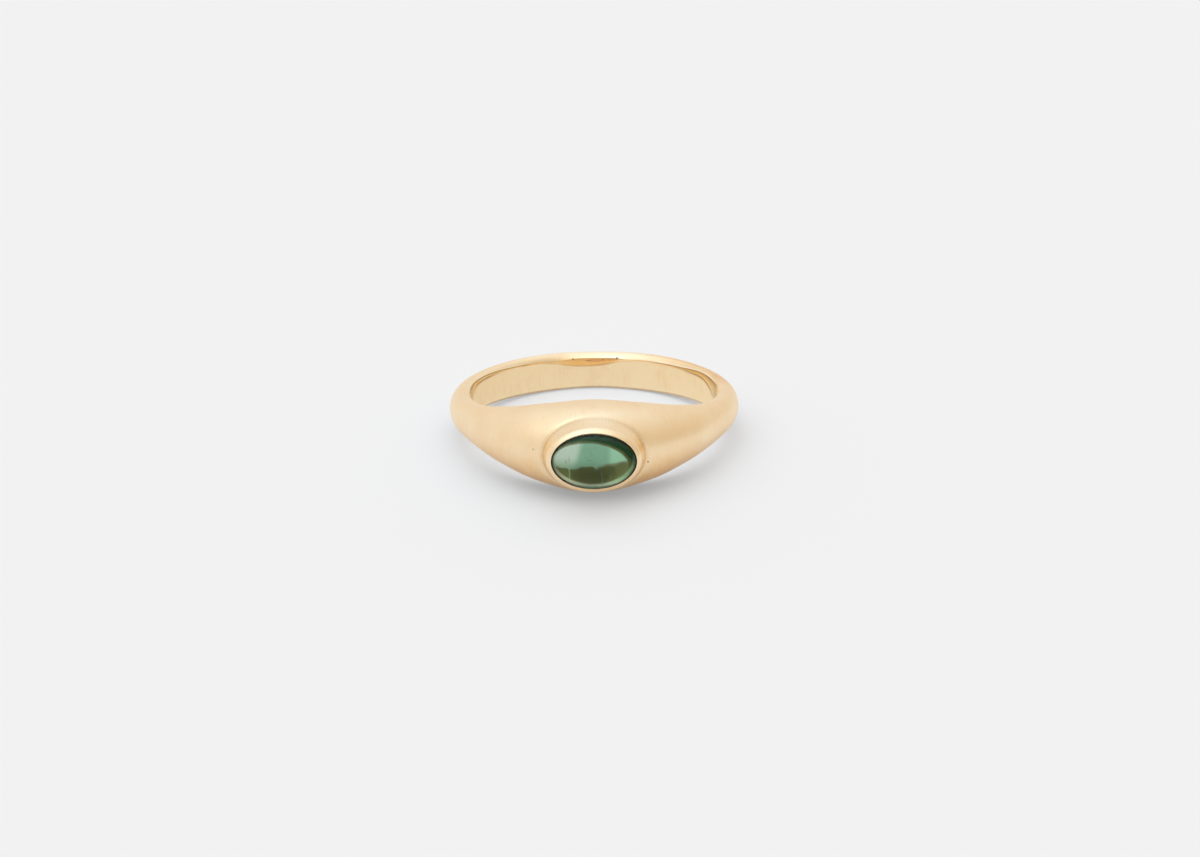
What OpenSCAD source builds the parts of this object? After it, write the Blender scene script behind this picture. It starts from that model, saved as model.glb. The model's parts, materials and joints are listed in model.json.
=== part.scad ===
// A domed ring with an oval cabochon in a raised bezel, lying on its side.
// Millimetres. The ring rests on z = 0 with its stone towards -Y, and X runs across the finger hole.

/* [Finger hole] */
// Diameter of the finger hole
finger_d = 17.2; // [15:0.1:21]
// How far the rounded inner edge reaches outwards from the hole's wall
edge_rise = 0.36; // [0.25:0.01:0.5]
// How far the rounded inner edge reaches in from each side of the band
edge_run = 0.31; // [0.2:0.01:0.4]

/* [Head and shank] */
// Width of the band along the finger, at the stone
head_w = 6.2; // [5.6:0.1:7]
// Thickness of the metal at the stone
head_t = 4.25; // [4:0.05:4.6]
// Width of the band at the back
back_w = 2.6; // [2.2:0.1:3.2]
// Thickness of the metal at the back
back_t = 1.35; // [1.1:0.05:1.8]

/* [Stone] */
// Length of the cabochon round the finger
stone_l = 6.0; // [5.4:0.1:6.2]
// Width of the cabochon along the finger
stone_w = 4.0; // [3.6:0.1:4.1]
// Height of the cabochon's dome above its girdle
dome_h = 1.5; // [1:0.1:1.9]
// Height of the upright girdle wall
girdle_h = 0.5; // [0.3:0.1:0.7]
// Gap between the stone and its seat
seat_gap = 0.03; // [0.02:0.01:0.05]

/* [Bezel] */
// Height of the bezel's rim above the hole's wall
rim_h = 4.5; // [4.4:0.05:4.8]
// Width of the bezel's rounded rim round the stone
rim_w = 0.35; // [0.3:0.01:0.4]
// Depth of the rim's rounding
rim_round = 0.3; // [0.1:0.05:0.4]
// Outward lean of the bezel's side, as widening for each millimetre of depth
flare = 0.19; // [0.1:0.01:0.25]
// How far the side sweeps out at its foot on the head
foot_w = 0.08; // [0:0.01:0.15]
// Part of the stone's plan that the burnished lip leaves in sight
in_sight = 0.957; // [0.94:0.001:0.97]

/* [Hidden] */

finger_r = finger_d / 2;
rim_r = finger_r + rim_h;

// The shape of the band, a row every 20 degrees from the stone to the back.
// Width and thickness are parts of the way from the back's value to the head's.
// Fullness is the section's power: 2 is an ellipse, and more is squarer.
ANGLE = 0;
WIDTH = 1;
THICK = 2;
FULL = 3;
taper = [
    // angle, width, thickness, fullness
    [0, 1, 1, 2.5],
    [20, 0.79, 0.745, 2.1],
    [40, 0.415, 0.34, 1.9],
    [60, 0.09, 0.075, 1.95],
    [80, -0.03, 0.035, 2],
    [100, -0.025, 0.045, 2],
    [120, -0.01, 0.04, 2],
    [140, 0.02, 0, 2],
    [160, 0.03, -0.015, 2],
    [180, 0, 0, 2],
];
taper_step = taper[1][ANGLE] - taper[0][ANGLE];
last_row = len(taper) - 1;

// Sections round the ring, and steps along the parts of one section
stations = 96;
outer_steps = 18;
edge_steps = 4;
// How far the section's inner side lies inside the hole, for the cylinder to cut away
bore_overlap = 0.25;
// Sides of an ellipse round the stone, and steps up its dome to the small flat at its top
oval_sides = 48;
dome_steps = 6;
top_turn = 84;
// Depth of the bezel's block below its rim, which ends inside the head
bezel_depth = 2;
// Depth of the bezel's foot on the head, and how soon the sweep there fades up the side
foot_depth = 1.15;
foot_h = 0.2;
// Steps of the rim's rounding, and how far the flat lip inside it reaches out
rim_steps = 4;
lip_w = 0.09;

// Heights above the hole's axis: the girdle's top, the stone's flat back
lip_rise = dome_h * sqrt(1 - in_sight * in_sight);
girdle_z = rim_r - lip_rise;
stone_z = girdle_z - girdle_h;

// The rows are mirrored past both ends of the table, so the curve is level at the stone and the back.
function row_at(i) = taper[i < 0 ? -i : i > last_row ? 2 * last_row - i : i];

// A smooth curve through four neighbouring rows, f of the way from the second to the third.
function through(a, b, c, d, f) =
    b + 0.5 * f * (c - a + f * (2 * a - 5 * b + 4 * c - d + f * (3 * (b - c) + d - a)));

function folded(angle) = abs(angle > 180 ? angle - 360 : angle);

function tapered(angle, col) = let (
        s = folded(angle) / taper_step,
        i = min(floor(s), last_row - 1)
    )
    through(row_at(i - 1)[col], row_at(i)[col], row_at(i + 1)[col], row_at(i + 2)[col], s - i);

function width_at(angle) = back_w + (head_w - back_w) * tapered(angle, WIDTH);
function thick_at(angle) = back_t + (head_t - back_t) * tapered(angle, THICK);

// A power that keeps its base's sign.
function spow(x, p) = sign(x) * pow(abs(x), p);

// One section as [radius, width] pairs, from the lower side over the outside and back underneath.
// The outside is half of a superellipse, and each inner edge a quarter of an ellipse.
function outer_line(angle) = let (
        half = width_at(angle) / 2,
        root = finger_r + edge_rise,
        rise = thick_at(angle) - edge_rise,
        p = 2 / tapered(angle, FULL)
    )
    [for (i = [0 : outer_steps]) let (phi = -90 + 180 * i / outer_steps)
        [root + rise * pow(abs(cos(phi)), p), half * spow(sin(phi), p)]];

function edge_point(angle, turn) =
    [finger_r + edge_rise * (1 - sin(turn)), width_at(angle) / 2 - edge_run * (1 - cos(turn))];

// The edge's last step is carried on straight, so that it crosses the hole's wall at a clear angle.
function edge_line(angle) = let (
        turn = 90 / edge_steps,
        points = [for (i = [1 : edge_steps - 1]) edge_point(angle, i * turn)],
        low = points[len(points) - 1],
        slope = edge_run * sin(90 - turn) / (edge_rise * cos(90 - turn)),
        drop = low.x - (finger_r - bore_overlap)
    )
    concat(points, [low - [drop, min(drop * slope, low.y - 0.2)]]);

function reversed(list) = [for (i = [len(list) - 1 : -1 : 0]) list[i]];
function section(angle) = let (edge = edge_line(angle))
    concat(outer_line(angle), edge, [for (p = reversed(edge)) [p.x, -p.y]]);

// A section's point in the ring's own frame: hole along Z, stone towards -Y.
function placed(p, angle) = [p.x * sin(angle), -p.x * cos(angle), p.y];
band_rings = [for (k = [0 : stations - 1]) let (angle = 360 * k / stations)
    [for (p = section(angle)) placed(p, angle)]];
band_points = [for (ring = band_rings) each ring];

// The ring lies on its wide head and its narrow back, so it leans back by a few degrees.
// The lean is halved in on until the lowest points of the front and the back are level.
front_points = [for (p = band_points) if (p.y < 0) p];
back_points = [for (p = band_points) if (p.y > 0) p];
function height(p, a) = p.z * cos(a) - p.y * sin(a);
function lowest(points, a) = min([for (p = points) height(p, a)]);
function lean_between(a, b, turns) = let (m = (a + b) / 2)
    turns == 0 ? m
    : lowest(front_points, m) < lowest(back_points, m) ? lean_between(m, b, turns - 1)
    : lean_between(a, m, turns - 1);
lean = lean_between(0, 15, 16);

// The front and back of the leaning ring: the stone's flattened top, and the band behind the finger
front_y = -dome_row(top_turn, 0)[2] * cos(lean) - dome_row(top_turn, 0)[1] * sin(lean);
back_y = max([for (p = back_points) p.y * cos(lean) + p.z * sin(lean)]);
base_z = lowest(band_points, lean);

module at_rest() {
    translate([0, -(front_y + back_y) / 2, -base_z])
        rotate([-lean, 0, 0])
            children();
}

// Turns a shape with its own Z upwards so that it points out through the stone.
module at_stone() {
    rotate([90, 0, 0]) children();
}

// A closed solid from a list of rings with equal counts of points, joined end to end in a loop.
module looped(rings) {
    count = len(rings[0]);
    total = len(rings);
    points = [for (ring = rings) each ring];
    faces = [for (k = [0 : total - 1], i = [0 : count - 1]) let (
            here = k * count,
            next = ((k + 1) % total) * count,
            j = (i + 1) % count
        ) each [[here + i, here + j, next + j], [here + i, next + j, next + i]]];
    polyhedron(points, faces, convexity = 6);
}

// A closed solid from oval rows, each [half length, half width, height], from the lowest to the highest.
module ovals(rows) {
    points = [for (row = rows, i = [0 : oval_sides - 1]) let (a = 360 * i / oval_sides)
        [row[0] * cos(a), row[1] * sin(a), row[2]]];
    top = (len(rows) - 1) * oval_sides;
    sides = [for (k = [0 : len(rows) - 2], i = [0 : oval_sides - 1]) let (
            low = k * oval_sides,
            high = low + oval_sides,
            j = (i + 1) % oval_sides
        ) each [[low + i, high + i, high + j], [low + i, high + j, low + j]]];
    floor_face = [for (i = [0 : oval_sides - 1]) i];
    top_face = [for (i = [oval_sides - 1 : -1 : 0]) top + i];
    polyhedron(points, concat(sides, [floor_face, top_face]), convexity = 2);
}

// A row of the stone's dome: grow is added all round, and turn runs from the girdle, 0, to the top, 90.
function dome_row(turn, grow) = [
    (stone_l / 2 + grow) * cos(turn),
    (stone_w / 2 + grow) * cos(turn),
    girdle_z + (dome_h + grow) * sin(turn)
];

// A row of the bezel at a depth below the rim, out from the part of the stone that is in sight.
function bezel_row(depth, out) =
    [in_sight * stone_l / 2 + out, in_sight * stone_w / 2 + out, rim_r - depth];

// How far out the bezel's side lies at a depth: it leans straight out, and sweeps out more at its foot.
function side_out(depth) =
    rim_w + flare * (depth - rim_round) + foot_w * exp(min(0, depth - foot_depth) / foot_h);

module bezel_block() {
    side_depths = [bezel_depth, foot_depth, foot_depth - 0.1, foot_depth - 0.22, foot_depth - 0.4];
    at_stone() ovals([
        for (depth = side_depths) bezel_row(depth, side_out(depth)),
        for (i = [0 : rim_steps]) let (turn = 90 - 90 * i / rim_steps)
            bezel_row(rim_round * (1 - cos(turn)), lip_w + (rim_w - lip_w) * sin(turn)),
    ]);
}

// The hollow that holds the stone: upright beside the girdle, then leaning in over the dome as the lip.
module seat() {
    lip_turn = acos(in_sight);
    half_l = stone_l / 2 + seat_gap;
    half_w = stone_w / 2 + seat_gap;
    lip = dome_row(lip_turn, seat_gap);
    at_stone() ovals([
        [half_l, half_w, stone_z - seat_gap],
        dome_row(0, seat_gap),
        dome_row(lip_turn / 2, seat_gap),
        lip,
        [lip[0], lip[1], rim_r + 1],
    ]);
}

module band() {
    color([0.86, 0.72, 0.5]) at_rest() difference() {
        union() {
            looped(band_rings);
            bezel_block();
        }
        seat();
        cylinder(h = 3 * head_w, r = finger_r, center = true, $fn = 180);
    }
}

module tourmaline() {
    chamfer = 0.1;
    color([0.2, 0.42, 0.32]) at_rest() at_stone() ovals([
        [stone_l / 2 - chamfer, stone_w / 2 - chamfer, stone_z],
        [stone_l / 2, stone_w / 2, stone_z + chamfer],
        for (i = [0 : dome_steps]) dome_row(i * top_turn / dome_steps, 0),
    ]);
}

band();
tourmaline();
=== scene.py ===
"""Dresses the ring: satin gold band with a raised oval bezel, a green cabochon, and a pale stage."""
import json
import math
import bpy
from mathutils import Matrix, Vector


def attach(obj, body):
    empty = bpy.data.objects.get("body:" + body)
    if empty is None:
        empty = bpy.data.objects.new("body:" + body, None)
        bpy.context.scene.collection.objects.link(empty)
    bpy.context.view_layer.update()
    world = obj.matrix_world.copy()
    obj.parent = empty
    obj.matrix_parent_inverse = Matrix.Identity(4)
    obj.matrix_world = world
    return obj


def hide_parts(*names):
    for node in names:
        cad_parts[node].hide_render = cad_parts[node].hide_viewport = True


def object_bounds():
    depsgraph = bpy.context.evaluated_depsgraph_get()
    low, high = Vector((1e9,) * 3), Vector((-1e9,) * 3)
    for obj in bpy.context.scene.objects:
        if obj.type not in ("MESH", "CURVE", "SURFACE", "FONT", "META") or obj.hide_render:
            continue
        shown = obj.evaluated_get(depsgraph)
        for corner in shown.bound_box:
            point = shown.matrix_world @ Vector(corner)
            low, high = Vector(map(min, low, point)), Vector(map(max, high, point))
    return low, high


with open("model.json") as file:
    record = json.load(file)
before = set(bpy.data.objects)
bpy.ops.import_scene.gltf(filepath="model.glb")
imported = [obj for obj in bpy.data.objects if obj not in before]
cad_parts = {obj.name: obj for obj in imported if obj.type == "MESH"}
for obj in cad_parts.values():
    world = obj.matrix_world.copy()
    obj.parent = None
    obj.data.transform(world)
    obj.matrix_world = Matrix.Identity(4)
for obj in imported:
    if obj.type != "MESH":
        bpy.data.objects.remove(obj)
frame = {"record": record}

from types import SimpleNamespace

import bpy
import numpy as np
from bpy.props import FloatProperty, FloatVectorProperty, IntProperty, PointerProperty
from mathutils import Matrix, Vector

bl_info = {
    "name": "Cabochon Ring",
    "version": (1, 0, 0),
    "blender": (4, 5, 0),
    "location": "3D View > Sidebar > Ring",
    "description": "Builds the surfaces, finishes and stage of a domed ring with an oval cabochon",
    "category": "Object",
}

MM = 0.001
BODY = "root"
HOLE = next(m for m in frame["record"]["mounts"] if m["name"] == "finger_hole")
HOLE_CENTRE = np.array(HOLE["pos_m"])
LEAN = math.atan2(HOLE["axis"][1], HOLE["axis"][2])
CAD_BOUNDS = [list(corner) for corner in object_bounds()]

# The band's shape, a row every 20 degrees from the stone to the back.
# Width and thickness are parts of the way from the back's value to the head's.
# Fullness is the section's power: 2 is an ellipse, and more is squarer.
TAPER_COLUMNS = ("angle", "width", "thickness", "fullness")
TAPER = np.array([
    (0, 1, 1, 2.5),
    (20, 0.79, 0.745, 2.1),
    (40, 0.415, 0.34, 1.9),
    (60, 0.09, 0.075, 1.95),
    (80, -0.03, 0.035, 2),
    (100, -0.025, 0.045, 2),
    (120, -0.01, 0.04, 2),
    (140, 0.02, 0, 2),
    (160, 0.03, -0.015, 2),
    (180, 0, 0, 2),
])

# Wear of the upper inner edge, by angle round the ring from the stone.
# In millimetres: drop is how much further down the rounding reaches, reach is how far down from the side
# a worn facet on the hole's wall ends, and depth is how deep it is.
# As parts of 1: crisp is how flat the edge's bevel is and how strong the facet's corner line of painted shade
# and the painted highlight line above it are, lower is how dark the painted shade of the facet's lower line
# is, and shade is how much painted shade lies on the facet itself.
WEAR_COLUMNS = ("angle", "drop", "reach", "depth", "crisp", "lower", "shade")
WEAR = np.array([
    (0, 0, 0, 0, 0, 0, 0),
    (80, 0, 0, 0, 0, 0, 0),
    (88, 0.05, 0, 0, 0, 0, 0),
    (94, 0.02, 0.5, 0, 0.1, 0, 0),
    (97, -0.03, 1.2, 0.02, 0.8, 0, 0.5),
    (99, -0.05, 1.9, 0.08, 1, 0, 0.75),
    (101.5, -0.06, 1.75, 0.09, 1, 0, 0.55),
    (104.5, -0.06, 1.43, 0.09, 1, 0.5, 0.2),
    (108, -0.09, 1.06, 0.09, 1, 0.8, 0.05),
    (112, -0.12, 0.78, 0.085, 1, 1, 0),
    (116, -0.14, 0.56, 0.075, 1, 1, 0),
    (121, -0.14, 0.48, 0.06, 1, 1, 0),
    (128, -0.05, 0.48, 0.04, 1, 0.7, 0),
    (134, 0.04, 0.46, 0.02, 1, 0.2, 0),
    (145, 0.07, 0.43, 0.01, 1, 0, 0),
    (157, 0.08, 0.45, 0.015, 0.4, 0, 0),
    (165, 0.1, 0.5, 0.03, 0.4, 0, 0),
    (168.5, 0.05, 0.57, 0.04, 1, 0, 0),
    (172, 0.03, 0.7, 0.055, 0.8, 0.3, 0),
    (177, 0.03, 0.83, 0.07, 0.3, 0.5, 0),
    (182, 0.02, 0.89, 0.07, 0.2, 0.3, 0),
    (189, 0.05, 0.87, 0.07, 0.4, 0.4, 0),
    (194, 0.12, 0.77, 0.055, 0.2, 0.3, 0),
    (199, 0.18, 0.65, 0.035, 0.2, 0.1, 0),
    (206, 0.12, 0.52, 0.015, 0.4, 0, 0),
    (215, 0.07, 0.46, 0.01, 0.8, 0, 0),
    (222, 0.04, 0.4, 0.01, 1, 0, 0),
    (230, -0.05, 0.36, 0.02, 1, 0.2, 0),
    (240, -0.13, 0.38, 0.055, 1, 1, 0),
    (247, -0.15, 0.38, 0.07, 1, 1, 0),
    (251, -0.16, 0.4, 0.08, 1, 1, 0),
    (254.5, -0.17, 0.47, 0.08, 1, 0.9, 0),
    (257.5, -0.18, 0.7, 0.08, 1, 0.6, 0.1),
    (260.5, -0.18, 1.6, 0.08, 1, 0, 0.45),
    (265, -0.18, 2.0, 0.07, 1, 0, 0.6),
    (272, -0.16, 2.0, 0.05, 1, 0, 0.4),
    (280, -0.05, 1.4, 0.02, 0.4, 0, 0),
    (290, 0, 0, 0, 0, 0, 0),
    (360, 0, 0, 0, 0, 0, 0),
]) * (1, MM, MM, MM, 1, 1, 1)

# Half the reach of the head's patch, round the ring and over the section, in degrees
PATCH_ANGLE = 30.0
PATCH_PHI = 75.0
# Steps over the head, the bezel's side, its rim, its lip, the hollow under that and the seat's wall, and how
# the first two crowd at the crease
HEAD_STEPS = 44
HEAD_CROWDING = 3.2
SIDE_STEPS = 16
SIDE_CROWDING = 1.5
RIM_STEPS = 10
LIP_STEPS = 5
UNDER_STEPS = 6
SEAT_STEPS = 5
# Rings of the seat's floor and of the stone's flat back, and of the stone's chamfer and girdle, as parts of
# their size or of their height, and the turn of the dome's last ring in degrees
FLOOR_RINGS = np.array([0.995, 0.9, 0.6, 0.3])[:, None]
BACK_RINGS = (0.3, 0.6, 0.9, 0.98, 1.0)
CHAMFER_RINGS = (0.5, 1.0)
GIRDLE_RINGS = (0.33, 0.66)
DOME_END = 88.5
# How the worn edge's rows crowd at its corner, how much further round the ring its nearly flat bevel reaches
# than the wider edge does, how far that bevel bulges, and how far the facet under it reaches at least
EDGE_CROWDING = 1.4
BEVEL_FADE = 1.6
BEVEL_BULGE = 0.03 * MM
SHORTEST_FACET = 0.04 * MM
# Rows of the worn facet, as parts of its length, and how soon its polish fades down the hole's wall
FACET_ROWS = np.array([0.03, 0.1, 0.25, 0.5, 0.75, 0.9, 0.97, 1.0])
POLISH_FADE = 0.06 * MM

# Polish of the parts that are neither satin, 0, nor fully bright, 1
CREASE_POLISH = 0.5
SIDE_POLISH = 0.3
# Depth of the gold's painted light: painted shade, which is 1 in the crease round the bezel, and painted
# highlight below 0. A line on the worn edge or the lower edge has its first row, from the facet's corner or
# from the hole's wall, its depth, and how that runs over its rows: painted shade along the facet's corner,
# a painted highlight above it, and painted shade along the facet's lower line and the lower inner edge. The
# facet itself and the lip's edge and the hollow under it get painted shade too.
CORNER_SHADE_LINE = (-2, 3.5, (0.5, 1.0, 1.0, 1.0, 0.6, 0.2))
HIGHLIGHT_LINE = (-9, -3.0, (0.3, 0.7, 1.0, 1.0, 1.0, 0.9, 0.5))
FACET_SHADE_LINE = (5, 3.5, (0.5, 1.0, 1.0, 0.8, 0.3))
LOWER_SHADE_LINE = (2, 2.0, (0.5, 1.0, 1.0, 1.0, 1.0, 0.5))
FACET_SHADE = 3.5
LIP_SHADE = 3.0


def length(name, text, value):
    """A property for a size in metres, given here in millimetres."""
    return FloatProperty(name=name, description=text, default=value * MM, min=0, unit="LENGTH", precision=5)


def degrees(name, text, value):
    """A property for an angle, given here in degrees."""
    return FloatProperty(name=name, description=text, default=math.radians(value), subtype="ANGLE")


def share(name, text, value):
    """A property for a number between 0 and 1."""
    return FloatProperty(name=name, description=text, default=value, min=0, max=1, subtype="FACTOR")


def colour(name, text, value):
    """A property for a colour, in linear light."""
    return FloatVectorProperty(
        name=name, description=text, default=value, subtype="COLOR", size=3, min=0, max=1)


def count(name, text, value, least):
    """A property for a number of steps, with the least that it may be."""
    return IntProperty(name=name, description=text, default=value, min=least)


class RingBand(bpy.types.PropertyGroup):
    """Sizes of the band, as its solid has them."""

    finger_r: length("Hole radius", "Radius of the finger hole", HOLE["dims"]["r_mm"])
    edge_rise: length("Edge rise", "How far the rounded inner edge reaches outwards", 0.36)
    edge_run: length("Edge run", "How far the rounded inner edge reaches in from the side", 0.31)
    head_w: length("Head width", "Width of the band at the stone", 6.2)
    head_t: length("Head thickness", "Thickness of the metal at the stone", 4.25)
    back_w: length("Back width", "Width of the band at the back", 2.6)
    back_t: length("Back thickness", "Thickness of the metal at the back", 1.35)
    edge_more: length("Back edge", "How much wider the inner edge is behind the finger", 0.14)
    edge_turn: degrees("Back edge reach", "How far round the ring that wider edge fades", 25.0)
    stations: count("Stations", "Sections round the ring", 288, 72)
    outer_steps: count("Outer steps", "Steps over the outside", 96, 24)
    edge_steps: count("Edge steps", "Steps round the lower inner edge, and half of the upper one's", 10, 8)
    wall_steps: count("Wall steps", "Steps across the hole's wall", 36, 4)


class RingBezel(bpy.types.PropertyGroup):
    """Sizes of the bezel that stands on the head."""

    rim_h: length("Rim height", "Height of the rim above the hole's wall", 4.5)
    rim_w: length("Rim width", "Width of the rounded rim round the stone", 0.35)
    rim_round: length("Rim rounding", "Depth of the rim's rounding", 0.3)
    rim_corner: length("Rim corner", "Depth at which the rim's side and its sloping top would meet", 0.12)
    lip_round: length("Lip rounding", "Rounding of the lip's edge against the stone", 0.03)
    lip_up: length("Lip rise", "How far the lip climbs the dome above the rim's height", 0.06)
    flare: share("Flare", "Widening of the side for each unit of depth", 0.19)
    foot_w: length("Foot width", "How far the side sweeps out at its foot", 0.08)
    foot_h: length("Foot height", "How soon that sweep fades up the side", 0.2)
    groove_d: length("Groove depth", "Depth of the soft groove round the foot", 0.075)
    groove_w: length("Groove width", "Reach of the groove to each side", 0.21)


class RingStone(bpy.types.PropertyGroup):
    """Sizes and colours of the cabochon and its seat."""

    stone_l: length("Length", "Length of the cabochon round the finger", 6.0)
    stone_w: length("Width", "Width of the cabochon along the finger", 4.0)
    dome_h: length("Dome", "Height of the dome above the girdle", 1.5)
    girdle_h: length("Girdle", "Height of the upright girdle wall", 0.5)
    chamfer: length("Chamfer", "Width of the chamfer round the flat back", 0.1)
    seat_gap: length("Gap", "Gap between the stone and its seat", 0.03)
    in_sight: share("In sight", "Part of the plan that the lip leaves open", 0.957)
    sides: count("Sides", "Points of an oval round the stone", 160, 24)
    dome_steps: count("Dome steps", "Ovals up the dome", 60, 8)
    tint: colour("Tint", "Colour that light takes in the dome", (0.7, 0.88, 0.76))
    # Painted shade: a dark outline near the dome's edge
    edge: colour("Edge", "Colour that light takes in the dome near its edge", (0.004, 0.005, 0.001))
    gloss: colour("Gloss", "Colour of the reflections on the dome", (0.1, 0.16, 0.1))
    # The zones at the stone's back are painted light: the pale zone with its whitish left part and clearer
    # right part is a painted reflection, the olive zones, the line round the pale zone and the dark zone are
    # painted shade, and the bright line and its sheen are a painted highlight. The clear colour also draws
    # the growth tubes, and the deep olive the flecks.
    pale: colour("Pale zone", "Colour of the pale zone at the stone's back", (0.33, 0.53, 0.43))
    white_reflection: colour("Veil", "Whitish colour of the pale zone's left part", (0.92, 0.92, 0.92))
    clear: colour("Clear", "Lighter colour of the pale zone's right part", (0.54, 0.81, 0.66))
    olive_shade: colour("Olive zone", "Colour of the olive zone", (0.23, 0.23, 0.115))
    deep: colour("Deep olive", "Colour of the olive zone near the lower side", (0.27, 0.25, 0.1))
    brown_shade: colour("Brown", "Colour of the line round the pale zone", (0.12, 0.1, 0.03))
    rim: colour("Dark zone", "Colour of the dark zone round the back", (0.0, 0.035, 0.005))
    glow: colour("Glow", "Colour of the bright line along the lower side", (1.0, 1.0, 0.85))
    sheen: colour("Sheen", "Colour of that line's broad right part", (0.48, 0.68, 0.42))


class RingGold(bpy.types.PropertyGroup):
    """Colours and roughness of the gold."""

    face: colour("Face", "Colour of the satin gold", (0.98, 0.79, 0.53))
    # Painted shade: the deeper colour towards the lower side and on the back right part; it also deepens the
    # colour at random with the strokes and clouds
    deep: colour("Deep", "Deeper colour towards the ring's lower side", (0.88, 0.53, 0.225))
    bright: colour("Polished", "Colour of the polished edges", (0.95, 0.7, 0.4))
    # Painted shade in the crease round the bezel, on the lip, along the worn edge's lines, over the facets
    # and in the pits; it also colours the dark spots
    dark: colour("Dark", "Colour in the crease and the pits", (0.38, 0.2, 0.07))
    facet: colour("Facets", "Colour of the worn facets at the sides of the hole", (1.0, 0.84, 0.5))
    # Painted highlight: the light line above the facets
    light: colour("Light", "Colour of the burnished line above the facets", (1.0, 0.97, 0.82))
    # Painted reflection: the reddish spot on the worn edge
    reddish_reflection: colour("Copper", "Colour of the reddish spot on the worn edge", (0.78, 0.45, 0.3))
    # Painted light: the wall's colour is lighter than the satin face's
    wall: colour("Wall", "Colour of the finger hole's wall", (1.0, 0.845, 0.585))
    seat: colour("Seat", "Colour of the floor of the stone's seat", (0.95, 0.93, 0.88))
    bounce: colour("Bounce", "Neutral colour that the floor sees", (0.85, 0.85, 0.85))
    shadow: colour("Shadow", "Neutral colour that the floor sees on the lower side", (0.2, 0.2, 0.2))
    satin: share("Satin", "Roughness of the satin outside", 0.36)
    polish: share("Polish", "Roughness of the polished edges", 0.12)
    facet_satin: share("Facet satin", "Roughness of the worn facets at the sides of the hole", 0.24)
    wall_satin: share("Wall satin", "Roughness of the finger hole's wall", 0.6)
    seat_satin: share("Seat satin", "Roughness of the floor of the stone's seat", 0.36)


class RingStage(bpy.types.PropertyGroup):
    """The camera's place and the floor."""

    elevation: degrees("Elevation", "Height of the view", 22.57)
    azimuth: degrees("Azimuth", "Turn of the view", 0.18)
    roll: degrees("Roll", "Roll of the camera", -0.63)
    distance: length("Distance", "From the camera to the hole's centre", 309.0)
    shift_x: length("Aside", "How far the ring's centre lies left of the view's", 0.406)
    shift_y: length("Above", "How far the ring's centre lies above the view's", 1.598)
    lens: FloatProperty(name="Lens", description="Focal length in millimetres", default=132.9)
    reach: length("Reach", "From the middle of the floor to its sides", 3000.0)
    floor: colour("Floor", "Colour of the floor", (0.6247, 0.6331, 0.6456))
    glow: share("Glow", "Light that comes through the floor", 0.27)


SETTINGS = {
    "ring_band": RingBand,
    "ring_bezel": RingBezel,
    "ring_stone": RingStone,
    "ring_gold": RingGold,
    "ring_stage": RingStage,
}


def through(before, start, end, after, part):
    """A smooth curve from start to end: the cubic whose slope at each is half the step across it."""
    bend = 2 * before - 5 * start + 4 * end - after
    twist = 3 * (start - end) + after - before
    return start + 0.5 * part * (end - before + part * (bend + part * twist))


def tapered(angle, column):
    """A column of TAPER at angles in degrees, mirrored past both ends of the table."""
    values = TAPER[:, TAPER_COLUMNS.index(column)]
    last = len(values) - 1
    step = np.abs((np.asarray(angle, float) + 180) % 360 - 180) / (TAPER[1, 0] - TAPER[0, 0])
    row = np.minimum(step.astype(int), last - 1)
    rows = [values[last - np.abs(last - np.abs(row + k))] for k in (-1, 0, 1, 2)]
    return through(*rows, step - row)


def width_at(band, angle):
    return band.back_w + (band.head_w - band.back_w) * tapered(angle, "width")


def thickness_at(band, angle):
    return band.back_t + (band.head_t - band.back_t) * tapered(angle, "thickness")


def edge_rise_at(band, angle):
    """How far the inner edge reaches outwards: more behind the finger, by a bell curve of the angle."""
    behind = np.radians(np.asarray(angle) % 360 - 180) / band.edge_turn
    return band.edge_rise + band.edge_more * np.exp(-behind ** 2)


def outside(band, angle, phi):
    """Radius and place along the finger of the outside, at angles round the ring and over the section.

    The section is half of a superellipse: cos and sin of phi are raised to 2 over the fullness."""
    power = 2 / tapered(angle, "fullness")
    rise = edge_rise_at(band, angle)
    turn = np.radians(phi)
    radius = band.finger_r + rise + (thickness_at(band, angle) - rise) * np.abs(np.cos(turn)) ** power
    along = width_at(band, angle) / 2 * np.sign(turn) * np.abs(np.sin(turn)) ** power
    return radius, along


def wear_at(angle):
    """The table's wear at angles in degrees, by column, smoothed by a bell 4 degrees wide."""
    window = np.hanning(13)[1:-1]
    near = (np.asarray(angle)[..., None] + np.linspace(-2, 2, len(window))) % 360
    return {name: (np.interp(near, WEAR[:, 0], values) * window).sum(-1) / window.sum()
            for name, values in zip(WEAR_COLUMNS[1:], WEAR.T[1:])}


def inner_edge(band, angle, turn):
    """Radius and place along the finger of the lower inner edge: a quarter ellipse, turn from 0 to 90."""
    turn = np.radians(turn)
    radius = band.finger_r + edge_rise_at(band, angle) * (1 - np.sin(turn))
    return radius, width_at(band, angle) / 2 - band.edge_run * (1 - np.cos(turn))


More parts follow.
